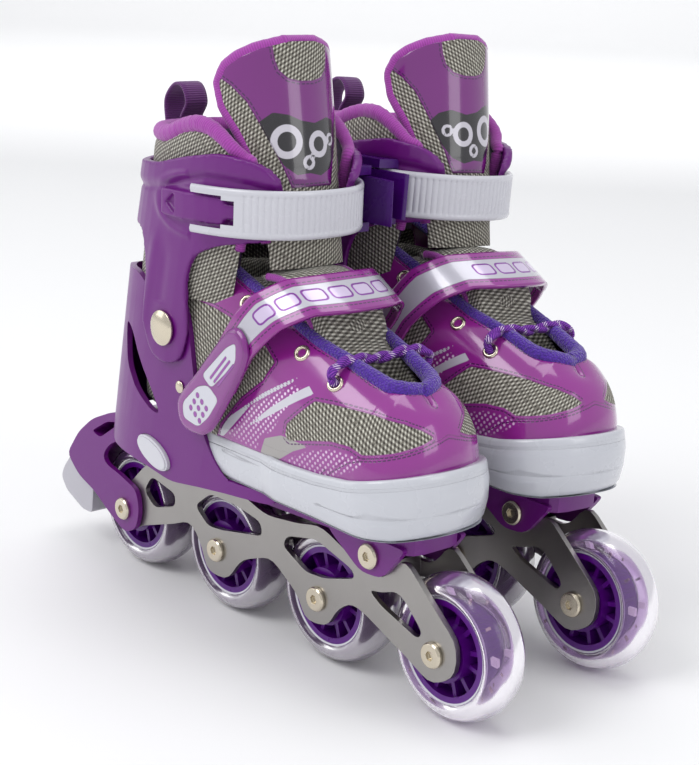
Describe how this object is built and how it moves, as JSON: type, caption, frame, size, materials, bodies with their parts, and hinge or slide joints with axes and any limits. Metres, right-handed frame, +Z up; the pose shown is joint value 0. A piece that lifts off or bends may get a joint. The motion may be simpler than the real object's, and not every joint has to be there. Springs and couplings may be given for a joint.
{
  "type": "pair of inline skates",
  "caption": "Pair of size-adjustable soft-boot inline skates with a hard heel shell and cuff, ratchet strap, instep strap, metal frame, clear wheels and heel brakes.",
  "frame": {"origin": "centre of the pair's footprint, on the ground", "axes": "+X to the toes, +Y to the left skate, +Z up"},
  "size_m": [0.3483, 0.2022, 0.3034],
  "materials": {
    "shell_plastic": "moulded, semi-gloss purple",
    "hub_plastic": "moulded, semi-gloss violet",
    "wheel_clear": "clear cast urethane",
    "white_plastic": "glossy off-white",
    "brake_rubber": "matte pale grey",
    "frame_metal": "satin silver",
    "bolt_steel": "nickel plated",
    "bearing_steel": "dark shielded bearing",
    "patent": "glossy patent purple",
    "liner_mesh": "woven grey mesh",
    "strap_silver": "pearly silver patent",
    "lace_cord": "braided violet cord",
    "webbing": "dark purple webbing"
  },
  "bodies": {
    "right_base": {"right_frame": "frame_metal", "right_bearings": "bearing_steel", "right_axles": "bolt_steel", "right_fasteners": "bolt_steel", "right_shell": "shell_plastic", "right_brake_bracket": "shell_plastic", "right_brake_pad": "brake_rubber", "right_liner_foot": "liner_mesh"},
    "right_wheel_1": {"right_wheel_hub_1": "hub_plastic", "right_tyre_1": "wheel_clear"},
    "right_wheel_2": {"right_wheel_hub_2": "hub_plastic", "right_tyre_2": "wheel_clear"},
    "right_wheel_3": {"right_wheel_hub_3": "hub_plastic", "right_tyre_3": "wheel_clear"},
    "right_wheel_4": {"right_wheel_hub_4": "hub_plastic", "right_tyre_4": "wheel_clear"},
    "right_toe": {"right_toe_sole": "white_plastic", "right_upper": "patent", "right_eyelets": "bolt_steel", "right_lace": "lace_cord", "right_instep_strap": "strap_silver"},
    "right_flap": {"right_strap_flap": "patent"},
    "right_upper_cuff": {"right_cuff": "shell_plastic", "right_liner_shaft": "liner_mesh", "right_heel_loop": "webbing", "right_tongue": "patent", "right_buckle_base": "shell_plastic"},
    "right_strap": {"right_ankle_strap": "white_plastic"},
    "right_lever": {"right_buckle_lever": "shell_plastic"},
    "right_button": {"right_size_button": "white_plastic"},
    "left_base": {"left_frame": "frame_metal", "left_bearings": "bearing_steel", "left_axles": "bolt_steel", "left_fasteners": "bolt_steel", "left_shell": "shell_plastic", "left_brake_bracket": "shell_plastic", "left_brake_pad": "brake_rubber", "left_liner_foot": "liner_mesh"},
    "left_wheel_1": {"left_wheel_hub_1": "hub_plastic", "left_tyre_1": "wheel_clear"},
    "left_wheel_2": {"left_wheel_hub_2": "hub_plastic", "left_tyre_2": "wheel_clear"},
    "left_wheel_3": {"left_wheel_hub_3": "hub_plastic", "left_tyre_3": "wheel_clear"},
    "left_wheel_4": {"left_wheel_hub_4": "hub_plastic", "left_tyre_4": "wheel_clear"},
    "left_toe": {"left_toe_sole": "white_plastic", "left_upper": "patent", "left_eyelets": "bolt_steel", "left_lace": "lace_cord", "left_instep_strap": "strap_silver"},
    "left_flap": {"left_strap_flap": "patent"},
    "left_upper_cuff": {"left_cuff": "shell_plastic", "left_liner_shaft": "liner_mesh", "left_heel_loop": "webbing", "left_tongue": "patent", "left_buckle_base": "shell_plastic"},
    "left_strap": {"left_ankle_strap": "white_plastic"},
    "left_lever": {"left_buckle_lever": "shell_plastic"},
    "left_button": {"left_size_button": "white_plastic"}
  },
  "joints": [
    {"name": "right_wheel_1_spin", "type": "hinge", "parent": "right_base", "child": "right_wheel_1", "pos_m": [-0.1039, -0.0533, 0.035], "axis": [0, 1, 0], "continuous": true},
    {"name": "right_wheel_2_spin", "type": "hinge", "parent": "right_base", "child": "right_wheel_2", "pos_m": [-0.0229, -0.0533, 0.035], "axis": [0, 1, 0], "continuous": true},
    {"name": "right_wheel_3_spin", "type": "hinge", "parent": "right_base", "child": "right_wheel_3", "pos_m": [0.0581, -0.0533, 0.035], "axis": [0, 1, 0], "continuous": true},
    {"name": "right_wheel_4_spin", "type": "hinge", "parent": "right_base", "child": "right_wheel_4", "pos_m": [0.1391, -0.0533, 0.035], "axis": [0, 1, 0], "continuous": true},
    {"name": "right_size_slide", "type": "slide", "parent": "right_base", "child": "right_toe", "axis": [1, 0, 0], "range_m": [0, 0.024]},
    {"name": "right_flap_hinge", "type": "hinge", "parent": "right_toe", "child": "right_flap", "pos_m": [0.0316, -0.0985, 0.162], "axis": [-0.7071, 0, 0.7071], "range_deg": [0, 70]},
    {"name": "right_cuff_flex", "type": "hinge", "parent": "right_base", "child": "right_upper_cuff", "pos_m": [-0.0364, -0.0533, 0.155], "axis": [0, 1, 0], "range_deg": [-3, 5]},
    {"name": "right_strap_swing", "type": "hinge", "parent": "right_upper_cuff", "child": "right_strap", "pos_m": [-0.0104, -0.0993, 0.21975], "axis": [0, 0, -1], "range_deg": [0, 50]},
    {"name": "right_lever_open", "type": "hinge", "parent": "right_upper_cuff", "child": "right_lever", "pos_m": [-0.0214, -0.0037, 0.21975], "axis": [0, 0, 1], "range_deg": [0, 60]},
    {"name": "right_button_press", "type": "slide", "parent": "right_base", "child": "right_button", "axis": [0, 1, 0], "range_m": [0, 0.002], "stiffness_N_per_m": 400},
    {"name": "left_wheel_1_spin", "type": "hinge", "parent": "left_base", "child": "left_wheel_1", "pos_m": [-0.1039, 0.04184, 0.03508], "axis": [0, 0.9981, -0.061], "continuous": true},
    {"name": "left_wheel_2_spin", "type": "hinge", "parent": "left_base", "child": "left_wheel_2", "pos_m": [-0.0229, 0.04184, 0.03508], "axis": [0, 0.9981, -0.061], "continuous": true},
    {"name": "left_wheel_3_spin", "type": "hinge", "parent": "left_base", "child": "left_wheel_3", "pos_m": [0.0581, 0.04184, 0.03508], "axis": [0, 0.9981, -0.061], "continuous": true},
    {"name": "left_wheel_4_spin", "type": "hinge", "parent": "left_base", "child": "left_wheel_4", "pos_m": [0.1391, 0.04184, 0.03508], "axis": [0, 0.9981, -0.061], "continuous": true},
    {"name": "left_size_slide", "type": "slide", "parent": "left_base", "child": "left_toe", "axis": [1, 0, 0], "range_m": [0, 0.024]},
    {"name": "left_flap_hinge", "type": "hinge", "parent": "left_toe", "child": "left_flap", "pos_m": [0.0316, 0.09471, 0.15909], "axis": [0.7071, -0.0432, -0.7058], "range_deg": [0, 70]},
    {"name": "left_cuff_flex", "type": "hinge", "parent": "left_base", "child": "left_upper_cuff", "pos_m": [-0.0364, 0.04916, 0.15486], "axis": [0, 0.9981, -0.061], "range_deg": [-3, 5]},
    {"name": "left_strap_swing", "type": "hinge", "parent": "left_upper_cuff", "child": "left_strap", "pos_m": [-0.0104, 0.09903, 0.21668], "axis": [0, 0.061, 0.9981], "range_deg": [0, 50]},
    {"name": "left_lever_open", "type": "hinge", "parent": "left_upper_cuff", "child": "left_lever", "pos_m": [-0.0214, 0.00361, 0.22251], "axis": [0, -0.061, -0.9981], "range_deg": [0, 60]},
    {"name": "left_button_press", "type": "slide", "parent": "left_base", "child": "left_button", "axis": [0, -0.9981, 0.061], "range_m": [0, 0.002], "stiffness_N_per_m": 400},
    {"name": "pair_spread", "type": "slide", "parent": "right_base", "child": "left_base", "axis": [0, 1, 0], "range_m": [0, 0.14]}
  ],
  "couplings": [
    {"joint": "right_lever_open", "follows": "pair_spread", "rad_per_m": 7.4},
    {"joint": "left_lever_open", "follows": "pair_spread", "rad_per_m": 7.4}
  ]
}
